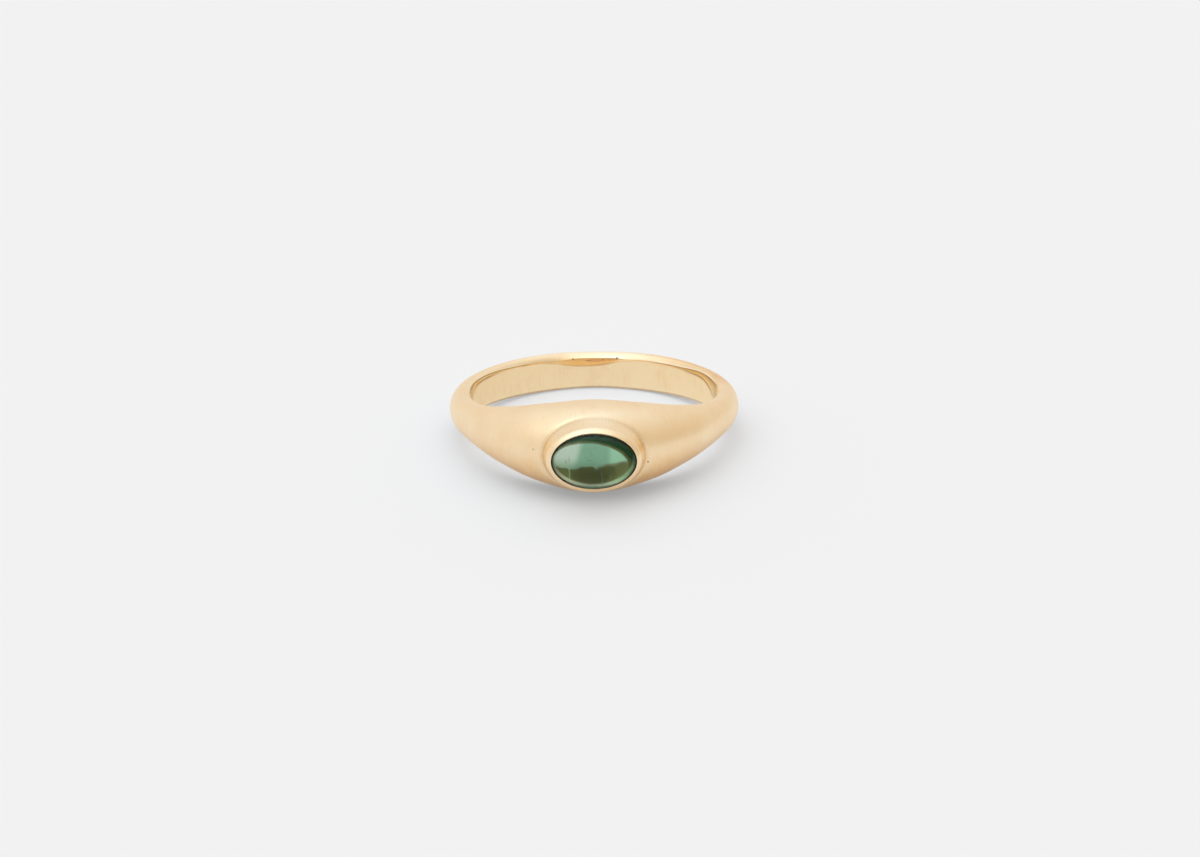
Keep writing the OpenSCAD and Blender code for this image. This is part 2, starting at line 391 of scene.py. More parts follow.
def worn_edge(band, angle):
    """Radius and place along the finger of the upper inner edge and the worn facet under it.

    The edge goes from a quarter ellipse over to a nearly flat bevel, behind the finger and where the wear
    is crisp. It ends in a corner, where its rows crowd, and the facet runs on straight to the wall."""
    wear = wear_at(angle)
    deep = wear["depth"]
    rise = edge_rise_at(band, angle) - deep
    run = band.edge_run + wear["drop"]
    side = width_at(band, angle) / 2
    part = 1 - np.linspace(1, 0, 2 * band.edge_steps + 1)[None, 1:] ** EDGE_CROWDING
    turn = np.pi / 2 * part
    behind = np.exp(-(np.radians(angle % 360 - 180) / (BEVEL_FADE * band.edge_turn)) ** 2)
    flat = np.maximum(behind, wear["crisp"])
    out = (1 - flat) * (1 - np.sin(turn)) + flat * (1 - part)
    down = (1 - flat) * (1 - np.cos(turn)) + flat * part
    bulge = flat * BEVEL_BULGE * 4 * part * (1 - part)
    edge = (band.finger_r + deep + rise * out - bulge, side - run * down + bulge)
    end = np.maximum(wear["reach"], run + SHORTEST_FACET)
    facet = (band.finger_r + deep * (1 - FACET_ROWS), side - run - FACET_ROWS * (end - run))
    return [np.concatenate(pair, 1) for pair in zip(edge, facet)]


def round_hole(radius, angle, along):
    """Points in the ring's own frame, with the hole along Z and the stone towards -Y."""
    turn = np.radians(angle)
    return np.stack(np.broadcast_arrays(radius * np.sin(turn), -radius * np.cos(turn), along), -1)


def at_rest(points):
    """Ring-frame points where the ring lies: turned back by its lean, set on the hole's centre and kept
    inside the box of the solids."""
    turn = np.array(Matrix.Rotation(-LEAN, 3, "X"))
    return np.clip(points @ turn.T + HOLE_CENTRE, *CAD_BOUNDS)


def oval_ring(half_l, half_w, height, psi):
    """Points of an ellipse round the stone's axis, height above the hole's axis, at angles psi."""
    return np.stack(np.broadcast_arrays(half_l * np.cos(psi), -height, half_w * np.sin(psi)), -1)


def parts_along(steps):
    """Parts of the way along a run of rows, without its start, shaped for rows of points."""
    return (np.arange(steps) + 1)[:, None, None] / steps


def bend_between(start, corner, end, steps):
    """Rows of a quadratic curve from start to end that leans to the corner, without its first row."""
    t = parts_along(steps)
    return (1 - t) ** 2 * start + 2 * t * (1 - t) * corner + t ** 2 * end


def straight_between(start, end, steps):
    """Rows of a straight run from start to end, without its first row."""
    return start + parts_along(steps) * (end - start)


def stone_heights(band, bezel, stone):
    """Heights above the hole's axis of the rim, the girdle's top and the stone's flat back."""
    rim = band.finger_r + bezel.rim_h
    girdle = rim - stone.dome_h * math.sqrt(1 - stone.in_sight ** 2)
    return rim, girdle, girdle - stone.girdle_h


def collar(band, bezel, stone, psi, depth, out):
    """Points of the bezel at a depth below the rim, out from the lip's edge."""
    half_l = stone.in_sight * stone.stone_l / 2 + out
    half_w = stone.in_sight * stone.stone_w / 2 + out
    return oval_ring(half_l, half_w, band.finger_r + bezel.rim_h - depth, psi)


def side_out(bezel, depth):
    """How far out the flared side of the bezel lies at a depth below the rim."""
    return bezel.rim_w + bezel.flare * (depth - bezel.rim_round)


def on_dome(band, points):
    """Angle round the ring, angle over the section and the outside's radius, under ring-frame points."""
    angle = np.degrees(np.arctan2(points[..., 0], -points[..., 1]))
    power = tapered(angle, "fullness") / 2
    part = np.clip(np.abs(points[..., 2]) / (width_at(band, angle) / 2), 0, 1)
    phi = np.degrees(np.arcsin(part ** power)) * np.sign(points[..., 2])
    return angle, phi, outside(band, angle, phi)[0]


def crease_of(band, bezel, stone, psi):
    """Depth and place where the bezel's swept foot meets the head at each psi, halved in on."""
    low, high = np.zeros_like(psi), np.full_like(psi, band.head_t)
    for _ in range(40):
        depth = (low + high) / 2
        point = collar(band, bezel, stone, psi, depth, side_out(bezel, depth) + bezel.foot_w)
        inside = np.hypot(point[:, 0], point[:, 1]) < on_dome(band, point)[2]
        low, high = np.where(inside, low, depth), np.where(inside, depth, high)
    return depth, point


def dome_line(band, start, stop, parts):
    """Points of the outside at parts of the way from start to stop, pairs of (angle, phi)."""
    angle = start[0] + parts * (stop[0] - start[0])
    phi = start[1] + parts * (stop[1] - start[1])
    radius, along = outside(band, angle, phi)
    return round_hole(radius, angle, along)


def new_piece(name, points, faces, values=None):
    """A smooth mesh object at the origin from points, lists of faces and named point values."""
    mesh = bpy.data.meshes.new(name)
    mesh.from_pydata(points.tolist(), [], faces)
    for label, data in (values or {}).items():
        mesh.attributes.new(label, "FLOAT", "POINT").data.foreach_set("value", data.astype(np.float32))
    mesh.polygons.foreach_set("use_smooth", np.ones(len(mesh.polygons), bool))
    mesh.update()
    piece = bpy.data.objects.new(name, mesh)
    bpy.context.scene.collection.objects.link(piece)
    return piece


def quads_between(rows):
    """Quads that join a stack of index rows, each closed on itself; the outside is on the rows' right."""
    here, there = rows[:-1], rows[1:]
    return np.stack((here, np.roll(here, -1, 1), np.roll(there, -1, 1), there), -1).reshape(-1, 4)


def fan_to(pole, row):
    """Triangles that join a closed index row to one point; the outside is on the row's right."""
    return np.stack((row, np.roll(row, -1), np.full_like(row, pole)), -1)


def section_grid(band):
    """The sections round the ring: points, polish and painted light, each a grid with a row for every
    station.

    A row runs over the outside from its lower side, round the upper inner edge, down the worn facet and the
    hole's wall, and back out round the lower inner edge."""
    angle = np.arange(band.stations)[:, None] * 360.0 / band.stations
    outer = outside(band, angle, np.linspace(-90, 90, band.outer_steps + 1)[None, :])
    upper = worn_edge(band, angle)
    lower = inner_edge(band, angle, np.linspace(90, 0, band.edge_steps, endpoint=False)[None, :])
    top, bottom = upper[1][:, -1:], -lower[1][:, :1]
    down = np.linspace(0, 1, band.wall_steps + 1)[None, 1:-1]
    wall = top + down * (bottom - top)
    radius = np.concatenate((outer[0], upper[0], np.full_like(wall, band.finger_r), lower[0]), 1)
    along = np.concatenate((outer[1], upper[1], wall, -lower[1]), 1)

    side = outer[0].shape[1]
    corner = side + 2 * band.edge_steps
    facet_end = corner + len(FACET_ROWS)
    wall_end = facet_end + wall.shape[1]
    polish = np.zeros_like(radius)
    polish[:, side:corner] = np.linspace(SIDE_POLISH, 1.0, corner - side)
    polish[:, corner:facet_end] = 1.0
    polish[:, facet_end:wall_end] = np.where(down < 0.5, np.exp(down * (bottom - top) / POLISH_FADE), 0.0)
    polish[:, wall_end:] = np.linspace(0.0, SIDE_POLISH, band.edge_steps)

    wear = wear_at(angle)
    # Painted light along the worn edge and the lower inner edge: lines of painted shade, a line of painted
    # highlight, and painted shade over the facet
    tone = np.zeros_like(radius)
    for start, line, strength in (
        (corner, CORNER_SHADE_LINE, wear["crisp"]),
        (corner, HIGHLIGHT_LINE, wear["crisp"]),
        (corner, FACET_SHADE_LINE, wear["lower"]),
        (wall_end, LOWER_SHADE_LINE, 1.0),
    ):
        first, depth, run = line
        tone[:, start + first:start + first + len(run)] = depth * strength * np.array(run)
    shaded = tone[:, corner:facet_end + 2]
    shaded[:] = np.maximum(shaded, FACET_SHADE * wear["shade"])
    return round_hole(radius, angle, along), polish, tone


def head_patch(band, shape):
    """The patch that is left out of the grid over the head: the stations and rows of the places along its
    border, in order, and a mask of the grid's cells that stay."""
    side = round(PATCH_ANGLE / 360.0 * band.stations)
    first = round((90 - PATCH_PHI) / 180.0 * band.outer_steps)
    last = band.outer_steps - first
    columns = np.arange(-side, side + 1) % band.stations
    right, left = columns[-1], columns[0]
    border = np.concatenate((
        [(right, row) for row in range(first, last)],
        [(column, last) for column in columns[:0:-1]],
        [(left, row) for row in range(last, first, -1)],
        [(column, first) for column in columns[:-1]],
    ))
    kept = np.ones(shape, bool)
    kept[np.ix_(columns[:-1], np.arange(first, last))] = False
    return border.T, kept


def head_lines(band, bezel, crease, border_at):
    """Lines over the head from its patch's border to the crease round the bezel: points, polish and painted
    light.

    Their steps grow shorter towards the crease, by an exponential curve of the step's number. The groove
    lowers them by a bell curve of their distance from the crease, and the same bell is their painted shade."""
    foot_at = on_dome(band, crease)[:2]
    fine = np.linspace(0, 1, 401)[:, None]
    steps = np.linalg.norm(np.diff(dome_line(band, foot_at, border_at, fine), axis=0), axis=-1)
    run = np.concatenate((np.zeros_like(steps[:1]), np.cumsum(steps, 0)))
    part = np.expm1(HEAD_CROWDING * np.linspace(1, 0, HEAD_STEPS + 1)[1:]) / math.expm1(HEAD_CROWDING)
    at = np.stack([np.interp(part * line[-1], line, fine[:, 0]) for line in run.T], 1)
    head = dome_line(band, foot_at, border_at, at)
    groove = np.exp(-(part[:, None] * run[-1] / bezel.groove_w) ** 2)
    head[..., 1] += bezel.groove_d * groove
    return head, CREASE_POLISH * groove ** 0.25, groove, 0.0


def side_lines(band, bezel, stone, psi, depth):
    """Lines up the bezel's side from the crease to the rim, swept out at the foot and sunk in the groove,
    with painted shade where they are sunk.
    """
    up = np.linspace(0, 1, SIDE_STEPS + 1)[1:, None] ** SIDE_CROWDING
    level = depth + up * (bezel.rim_round - depth)
    out = side_out(bezel, level) + bezel.foot_w * np.exp(-(depth - level) / bezel.foot_h)
    sunk = np.exp(-((depth - level) / bezel.groove_w) ** 2)
    side = collar(band, bezel, stone, psi, level + bezel.groove_d * sunk, out)
    return side, SIDE_POLISH + (CREASE_POLISH - SIDE_POLISH) * (1 - up), sunk, 0.0


def seat_lines(band, bezel, stone, psi, side):
    """Lines from the bezel's side over the rim, round the lip, down the hollow under it and over the seat's
    floor, each with its points, polish, painted light and whether it is the floor, and the floor's middle.
    The lip's edge and the hollow under it get painted shade."""
    rim, girdle, back = stone_heights(band, bezel, stone)
    gap = stone.seat_gap
    half_l, half_w = stone.stone_l / 2 + gap, stone.stone_w / 2 + gap
    lip_h = rim + bezel.lip_up - girdle
    lip_low = lip_h - bezel.lip_round

    def beside_dome(height):
        """An oval a gap away from the dome, at a height above the girdle's top."""
        part = np.sqrt(1 - (height / (stone.dome_h + gap)) ** 2)
        return oval_ring(half_l * part, half_w * part, girdle + height, psi)

    corner = collar(band, bezel, stone, psi, bezel.rim_corner, side_out(bezel, bezel.rim_corner))
    lip = collar(band, bezel, stone, psi, -bezel.lip_up, bezel.lip_round)
    under = beside_dome(np.linspace(lip_low, 0, UNDER_STEPS + 1)[1:, None])
    foot = oval_ring(half_l, half_w, back - gap, psi)
    lines = [
        (bend_between(side, corner, lip, RIM_STEPS), SIDE_POLISH, 0.0, 0.0),
        (bend_between(lip, beside_dome(lip_h), beside_dome(lip_low), LIP_STEPS), 1.0,
         np.linspace(0, LIP_SHADE, LIP_STEPS)[:, None], 0.0),
        (under, 1.0, LIP_SHADE, 0.0),
        (straight_between(under[-1], foot, SEAT_STEPS), 1.0, 0.0, 0.0),
        (oval_ring(FLOOR_RINGS * half_l, FLOOR_RINGS * half_w, back - gap, psi), 1.0, 0.0, 1.0),
    ]
    return lines, np.array([[0.0, gap - back, 0.0]])


def band_surface(band, bezel, stone):
    """The band as one closed surface, with values for its polish, the depth of its painted shade and
    highlight and the seat's floor.

    Round the ring runs the grid of sections. Over the head a patch of it is left out, and lines run from the
    patch's border to the bezel's foot, up its side, over the rim and into the seat, to one point."""
    points, *grid_values = section_grid(band)
    stations, rows = points.shape[:2]
    border, kept = head_patch(band, (stations, rows))
    border_points = points[tuple(border)]
    border_at = (
        (border[0] * 360.0 / stations + 180) % 360 - 180,
        border[1] * 180.0 / band.outer_steps - 90,
    )
    foot_l = stone.stone_l / 2 + bezel.rim_w
    foot_w = stone.stone_w / 2 + bezel.rim_w
    psi = np.arctan2(border_points[:, 2] / foot_w, border_points[:, 0] / foot_l)
    depth, crease = crease_of(band, bezel, stone, psi)
    head = head_lines(band, bezel, crease, border_at)
    side = side_lines(band, bezel, stone, psi, depth)
    inner, middle = seat_lines(band, bezel, stone, psi, side[0][-1])
    lines = [head, side, *inner]
    stack = np.concatenate([line[0] for line in lines])
    stack_values = [
        np.concatenate([np.broadcast_to(line[k], line[0].shape[:2]) for line in lines]) for k in (1, 2, 3)]

    grid_index = np.arange(stations * rows).reshape(stations, rows)
    line_index = grid_index.size + np.arange(len(stack) * len(psi)).reshape(-1, len(psi))
    pole = line_index.max() + 1
    ahead = np.roll(grid_index, -1, 0)
    cells = np.stack((grid_index, ahead, np.roll(ahead, -1, 1), np.roll(grid_index, -1, 1)), -1)
    joined = np.concatenate((grid_index[tuple(border)][None], line_index))
    quads = np.concatenate((cells[kept], quads_between(joined)))
    used = np.unique(np.append(quads, pole))
    faces = [np.searchsorted(used, part).tolist() for part in (quads, fan_to(pole, line_index[-1]))]

    everything = np.concatenate((points.reshape(-1, 3), stack.reshape(-1, 3), middle))
    labels = ("polish", "tone", "seat")
    grid_values.append(np.zeros((stations, rows)))
    pole_values = (1.0, 0.0, 1.0)
    values = {
        label: np.concatenate((on_grid.ravel(), on_lines.ravel(), [at_pole]))[used]
        for label, on_grid, on_lines, at_pole in zip(labels, grid_values, stack_values, pole_values)
    }
    return at_rest(everything[used]), faces[0] + faces[1], values


def stone_surface(band, bezel, stone):
    """The cabochon: a flat back with a small chamfer, an upright girdle and half of an ellipsoid.

    It is a stack of ovals from the back to the top, with a pole at each end."""
    _, girdle, back = stone_heights(band, bezel, stone)
    chamfer = stone.chamfer
    half_l, half_w = stone.stone_l / 2, stone.stone_w / 2
    flat_l, flat_w = half_l - chamfer, half_w - chamfer
    wall = girdle - back - chamfer
    rings = [(flat_l * f, flat_w * f, back) for f in BACK_RINGS]
    rings += [(flat_l + chamfer * f, flat_w + chamfer * f, back + chamfer * f) for f in CHAMFER_RINGS]
    rings += [(half_l, half_w, back + chamfer + wall * f) for f in GIRDLE_RINGS]
    rings += [(half_l * math.cos(t), half_w * math.cos(t), girdle + stone.dome_h * math.sin(t))
              for t in np.radians(np.linspace(0, DOME_END, stone.dome_steps))]
    psi = np.arange(stone.sides) * 2 * np.pi / stone.sides
    rows = oval_ring(*np.array(rings).T[..., None], psi)
    poles = np.array([[0, -back, 0], [0, -(girdle + stone.dome_h), 0]])
    points = np.concatenate((rows.reshape(-1, 3), poles))
    index = np.arange(rows.shape[0] * rows.shape[1]).reshape(rows.shape[:2])
    low, high = index.max() + 1, index.max() + 2
    faces = [part.tolist() for part in (
        quads_between(index), fan_to(low, index[0])[:, [1, 0, 2]], fan_to(high, index[-1]))]
    return at_rest(points), faces[0] + faces[1] + faces[2]


def new_material(name):
    material = bpy.data.materials.new(name)
    material.use_nodes = True
    nodes = material.node_tree.nodes
    return material, nodes, material.node_tree.links, nodes["Principled BSDF"]


def feed(tree, socket, value):
    """Sets a socket to a number, a vector or a colour, or links another socket to it."""
    if isinstance(value, bpy.types.NodeSocket):
        tree.links.new(value, socket)
    else:
        socket.default_value = value


def calculate(tree, operation, *values, kind="ShaderNodeMath", result=0):
    """A Math node, or another of its kind, fed with numbers, vectors or sockets in order."""
    node = tree.nodes.new(kind)
    node.operation = operation
    for socket, value in zip(node.inputs, values):
        feed(tree, socket, value)
    return node.outputs[result]


def times(tree, first, second):
    return calculate(tree, "MULTIPLY", first, second)


def plus(tree, first, second):
    return calculate(tree, "ADD", first, second)


def minus(tree, first, second):
    return calculate(tree, "SUBTRACT", first, second)


def size_of(tree, vector):
    """The length of a vector."""
    return calculate(tree, "LENGTH", vector, kind="ShaderNodeVectorMath", result=1)


def spread(tree, value, low, high, bottom=0.0, top=1.0, ease="LINEAR"):
    """A Map Range node that takes low..high to bottom..top."""
    node = tree.nodes.new("ShaderNodeMapRange")
    node.interpolation_type = ease
    given = {"Value": value, "From Min": low, "From Max": high, "To Min": bottom, "To Max": top}
    for label, number in given.items():
        feed(tree, node.inputs[label], number)
    return node.outputs["Result"]


def blend(tree, part, first, second):
    """A colour Mix node; each colour is three numbers or a socket."""
    node = tree.nodes.new("ShaderNodeMix")
    node.data_type = "RGBA"
    feed(tree, node.inputs[0], part)
    for socket, value in ((node.inputs[6], first), (node.inputs[7], second)):
        feed(tree, socket, value if isinstance(value, bpy.types.NodeSocket) else (*value, 1.0))
    return node.outputs[2]


def noise(tree, place, scale, detail, roughness=0.55, w=None):
    """A Noise node's value; with w it has a fourth coordinate."""
    node = tree.nodes.new("ShaderNodeTexNoise")
    node.noise_dimensions = "3D" if w is None else "4D"
    given = {"Vector": place, "W": w, "Scale": scale, "Detail": detail, "Roughness": roughness}
    for label, value in given.items():
        if value is not None:
            feed(tree, node.inputs[label], value)
    return node.outputs["Fac"]


def bump(tree, height, distance):
    """The normal that a relief gives: a height in parts of a distance in metres."""
    node = tree.nodes.new("ShaderNodeBump")
    node.inputs["Strength"].default_value = 1.0
    node.inputs["Distance"].default_value = distance
    tree.links.new(height, node.inputs["Height"])
    return node.outputs["Normal"]


def ring_place(tree):
    """Object coordinates in millimetres in the ring's own frame: hole along Z, stone towards -Y."""
    place = tree.nodes.new("ShaderNodeTexCoord").outputs["Object"]
    mapping = tree.nodes.new("ShaderNodeMapping")
    upright = Matrix.Rotation(LEAN, 3, "X")
    mapping.inputs["Scale"].default_value = (1 / MM,) * 3
    mapping.inputs["Rotation"].default_value = (LEAN, 0, 0)
    mapping.inputs["Location"].default_value = -(upright @ Vector(HOLE_CENTRE)) / MM
    tree.links.new(place, mapping.inputs["Vector"])
    return mapping.outputs["Vector"]


def attribute(tree, label):
    """The value that a mesh carries under a name."""
    node = tree.nodes.new("ShaderNodeAttribute")
    node.attribute_name = label
    return node.outputs["Fac"]


def parts_of(tree, vector):
    """The three numbers of a vector."""
    node = tree.nodes.new("ShaderNodeSeparateXYZ")
    tree.links.new(vector, node.inputs[0])
    return node.outputs


def vector_of(tree, *values):
    """A vector of three numbers."""
    node = tree.nodes.new("ShaderNodeCombineXYZ")
    for socket, value in zip(node.inputs, values):
        feed(tree, socket, value)
    return node.outputs[0]


def effect(name, inputs, outputs):
    """A new node group with number inputs (name, default) and named outputs."""
    tree = bpy.data.node_groups.new(name, "ShaderNodeTree")
    for label, value in inputs:
        socket = tree.interface.new_socket(label, in_out="INPUT", socket_type="NodeSocketFloat")
        socket.default_value = value
    for label, kind in outputs:
        tree.interface.new_socket(label, in_out="OUTPUT", socket_type=kind)
    return tree, tree.nodes.new("NodeGroupInput").outputs, tree.nodes.new("NodeGroupOutput").inputs


def use(tree, group, **values):
    """A group placed in a tree with its own values."""
    node = tree.nodes.new("ShaderNodeGroup")
    node.node_tree = group
    for label, value in values.items():
        node.inputs[label].default_value = value
    return node.outputs


def in_oval(tree, u, v, oval):
    """How far out a place lies in an oval: 0 at its middle and 1 on its line."""
    middle_u, middle_v, half_u, half_v = oval
    off_u = calculate(tree, "DIVIDE", minus(tree, u, middle_u), half_u)
    off_v = calculate(tree, "DIVIDE", minus(tree, v, middle_v), half_v)
    return size_of(tree, vector_of(tree, off_u, off_v, 0.0))


def bell(tree, value, middle, width, height):
    """Height times a bell curve of a value round its middle."""
    off = calculate(tree, "DIVIDE", minus(tree, value, middle), width)
    return times(tree, calculate(tree, "EXPONENT", times(tree, times(tree, off, off), -1.0)), height)


# Radius at which a brushing group's strokes have their stated width, in millimetres
BRUSHED_RADIUS = 11.0
# Small casting pits on the head and specks on the worn edge, darkened with painted shade: places in the
# ring's own frame and radius
PITS = (
    ((3.642, -11.641, -0.524), 0.085),
    ((-4.099, -11.385, 0.349), 0.07),
    ((-1.5, 8.53, 0.93), 0.09),
    ((1.65, 8.5, 0.96), 0.12),
)
# Spots on the worn edge behind the finger, the reddish one a painted reflection: an oval in x and z in
# millimetres, its colour and strength
SPOTS = (
    ((0.04, 0.8, 0.72, 0.14), "reddish_reflection", 0.8),
    ((0.64, 0.84, 0.16, 0.06), "dark", 0.6),
    ((-0.42, 0.79, 0.32, 0.06), "dark", 0.5),
)
# Depth of the gold's relief, and how much of the dark or the light colour it takes for painted shade of 1 or
# painted highlight of -1, and how much of the dark one it takes as painted shade in the pits
GOLD_RELIEF = 0.018 * MM
PAINTED_LIGHT_SHARE = 0.22
PIT_SHADE_SHARE = 0.85


def brushing():
    """Strokes on the ring's surfaces: noise on a round grid, drawn out across or along the band.

    Around is how many strokes lie side by side in a millimetre round the ring, and Across how many along
    the finger and outwards, so the smaller of the two is the way in which the strokes run."""
    tree, given, out = effect(
        "brushing", (("Around", 4.0), ("Across", 1.0), ("Detail", 3.0)), (("Strokes", "NodeSocketFloat"),))
    x, y, z = parts_of(tree, ring_place(tree))
    flat = vector_of(tree, x, y, 0.0)
    hx, hy, _ = parts_of(tree, calculate(tree, "NORMALIZE", flat, kind="ShaderNodeVectorMath"))
    reach = times(tree, given["Around"], BRUSHED_RADIUS)
    grid = vector_of(tree, times(tree, hx, reach), times(tree, hy, reach), times(tree, z, given["Across"]))
    depth = times(tree, size_of(tree, flat), given["Across"])
    tree.links.new(noise(tree, grid, 1.0, given["Detail"], 0.6, depth), out["Strokes"])
    return tree


def pitting(tree, place):
    """How deep a place lies in one of the pits, from 0 outside to 1 in the middle."""
    total = 0.0
    for middle, radius in PITS:
        away = calculate(tree, "DISTANCE", place, middle, kind="ShaderNodeVectorMath", result=1)
        total = plus(tree, total, spread(tree, away, radius, 0.35 * radius, ease="SMOOTHSTEP"))
    return total


def gold_places(tree, band):
    """What the looks of the gold are worked out from: the place, the mesh's values, masks and patterns.

    Radius is from the hole's wall. Wall is 1 on that wall, side at the ring's sides, behind at its back, and
    low towards its lower side, where it lays painted shade. Strokes, lines and clouds lie round 0."""
    place = ring_place(tree)
    x, y, z = parts_of(tree, place)
    radius = minus(tree, size_of(tree, vector_of(tree, x, y, 0.0)), band.finger_r / MM)
    polish, tone, seat = (attribute(tree, label) for label in ("polish", "tone", "seat"))
    matt = minus(tree, 1.0, polish)
    wall = times(tree, spread(tree, radius, 0.34, 0.2), matt)
    outside_wall = minus(tree, 1.0, wall)
    low = spread(tree, z, 0.8, -2.4, ease="SMOOTHSTEP")
    low = times(tree, low, spread(tree, polish, 0.3, 0.0, 0.5, 1.0))
    group = brushing()
    strokes = use(tree, group, Around=5.0, Across=1.1, Detail=4.0)["Strokes"]
    lines = use(tree, group, Around=0.25, Across=7.0, Detail=3.0)["Strokes"]
    return SimpleNamespace(
        x=x, y=y, z=z, radius=radius, polish=polish, tone=tone, seat=seat,
        wall=wall, outside_wall=outside_wall, low=times(tree, low, outside_wall),
        side=times(tree, spread(tree, y, -3.0, -1.0), spread(tree, y, 6.5, 4.0)),
        behind=spread(tree, y, 4.0, 6.5),
        strokes=times(tree, minus(tree, strokes, 0.5), matt),
        lines=times(tree, minus(tree, lines, 0.5), 0.35),
        clouds=minus(tree, noise(tree, place, 0.5, 4.0), 0.5),
        pits=pitting(tree, place),
    )


def gold_roughness(tree, at, gold):
    """Satin to polished by the polish value, stirred by strokes, lines and clouds, then the duller parts."""
    rough = spread(tree, at.polish, 0.0, 1.0, gold.satin, gold.polish)
    for pattern, amount in ((at.strokes, 0.25), (at.lines, 0.06), (at.clouds, 0.1)):
        rough = plus(tree, rough, times(tree, pattern, amount))
    for mask, satin in (
        (times(tree, at.side, at.polish), gold.facet_satin),
        (at.wall, gold.wall_satin),
        (at.seat, gold.seat_satin),
    ):
        rough = spread(tree, mask, 0.0, 1.0, rough, satin)
    return rough


def gold_colour(tree, at, gold):
    """The satin colour, deeper by strokes, with painted shade towards the lower side and on the back right
    part, with the colours of the wall, lighter as painted light, the polished edge, its spots, the reddish
    one a painted reflection, the seat, the lines of painted shade and highlight and the pits' painted shade
    over it."""
    depth = times(tree, plus(tree, times(tree, at.strokes, 0.9), at.clouds), 0.8)
    # Painted shade towards the lower side
    depth = minus(tree, depth, at.low)
    # Painted shade on the back right part of the outside
    back_shade = times(tree, spread(tree, at.x, 2.5, 5.5), spread(tree, at.y, 0.0, 3.0))
    back_shade = times(tree, back_shade, spread(tree, at.z, 0.2, 0.8, 0.0, 0.6))
    depth = minus(tree, depth, times(tree, back_shade, at.outside_wall))
    # The wall's lighter colour is painted light
    face = blend(tree, at.wall, gold.face, gold.wall)
    shade = blend(tree, spread(tree, depth, -1.0, 0.0), gold.deep, face)
    polished = blend(tree, at.side, gold.bright, gold.facet)
    shade = blend(tree, spread(tree, at.polish, 0.6, 1.0), shade, polished)
    on_edge = times(tree, spread(tree, at.radius, 0.8, 0.55), at.behind)
    for oval, name, strength in SPOTS:
        spot = times(tree, spread(tree, in_oval(tree, at.x, at.z, oval), 1.0, 0.5), on_edge)
        shade = blend(tree, times(tree, spot, strength), shade, getattr(gold, name))
    shade = blend(tree, at.seat, shade, gold.seat)
    # Painted highlight where the painted light is below 0, painted shade where it is above 0, and painted
    # shade in the pits
    shade = blend(tree, times(tree, at.tone, -PAINTED_LIGHT_SHARE), shade, gold.light)
    shade = blend(tree, times(tree, at.tone, PAINTED_LIGHT_SHARE), shade, gold.dark)
    return blend(tree, times(tree, at.pits, PIT_SHADE_SHARE), shade, gold.dark)


def gold_material(gold, band):
    """Gold that is brushed across the band where polish is 0, and bright with fine lines where it is 1.

    Light that the floor takes from it is neutral, so that the ring's shadow stays grey."""
    material, nodes, links, shader = new_material("satin_gold")
    tree = material.node_tree
    at = gold_places(tree, band)
    links.new(gold_roughness(tree, at, gold), shader.inputs["Roughness"])
    links.new(gold_colour(tree, at, gold), shader.inputs["Base Color"])
    shader.inputs["Metallic"].default_value = 1.0
    relief = plus(tree, at.strokes, times(tree, at.lines, at.polish))
    relief = plus(tree, relief, times(tree, minus(tree, at.clouds, at.pits), 1.5))
    links.new(bump(tree, relief, GOLD_RELIEF), shader.inputs["Normal"])

    bounce = nodes.new("ShaderNodeBsdfDiffuse")
    links.new(blend(tree, at.low, gold.bounce, gold.shadow), bounce.inputs["Color"])
    mix = nodes.new("ShaderNodeMixShader")
    links.new(nodes.new("ShaderNodeLightPath").outputs["Is Diffuse Ray"], mix.inputs[0])
    links.new(shader.outputs[0], mix.inputs[1])
    links.new(bounce.outputs[0], mix.inputs[2])
    links.new(mix.outputs[0], nodes["Material Output"].inputs["Surface"])
    return material


# Refraction of tourmaline, and depth of the dome's slight unevenness
STONE_IOR = 1.63
STONE_RELIEF = 0.006 * MM
# The wavy line on the stone's back between its pale zone, a painted reflection, and its olive zone, painted
# shade: height in millimetres, and bells on it, each with its middle, width and height
ZONE_LINE = -0.38
ZONE_WAVES = ((-1.3, 0.6, -0.14), (0.14, 0.16, -0.1), (0.75, 0.3, 0.07), (1.8, 0.7, 0.22))
# Ovals on the back, as middle and half sizes in millimetres: the pale zone's, a painted reflection, and
# the bright line's, a painted highlight
PALE_OVAL = (-0.19, -0.35, 2.17, 1.04)
GLOW_OVAL = (0.0, 0.0, 2.4, 1.25)
# Growth tubes on the back: the place of the lower end, the place of the upper end, and half the width
TUBES = (
    ((-1.38, -1.04), (-1.44, -0.3), 0.05),
    ((0.47, -1.15), (0.43, -0.62), 0.035),
    ((0.95, -1.0), (0.9, -0.7), 0.03),
)
# Dark flecks and dashes on the back: middle and half sizes in millimetres
FLECKS = (
    (-0.2, 0.31, 0.05, 0.04),
    (-0.13, 0.15, 0.045, 0.035),
    (-0.25, -0.1, 0.2, 0.022),
    (-0.45, 0.03, 0.13, 0.018),
    (0.1, 0.5, 0.12, 0.018),
    (-1.44, -0.05, 0.025, 0.2),
    (-1.62, -0.15, 0.025, 0.14),
)


def tube(tree, u, v, low, high, half):
    """1 along a fine straight tube between two places, fading over its half width and past its ends."""
    slope = (high[0] - low[0]) / (high[1] - low[1])
    along = times(tree, minus(tree, v, low[1]), slope)
    away = calculate(tree, "ABSOLUTE", minus(tree, minus(tree, u, low[0]), along))
    ends = times(tree, spread(tree, v, low[1] - 0.05, low[1] + 0.05),
                 spread(tree, v, high[1] + 0.05, high[1] - 0.2))
    return times(tree, spread(tree, away, half, 0.3 * half), ends)


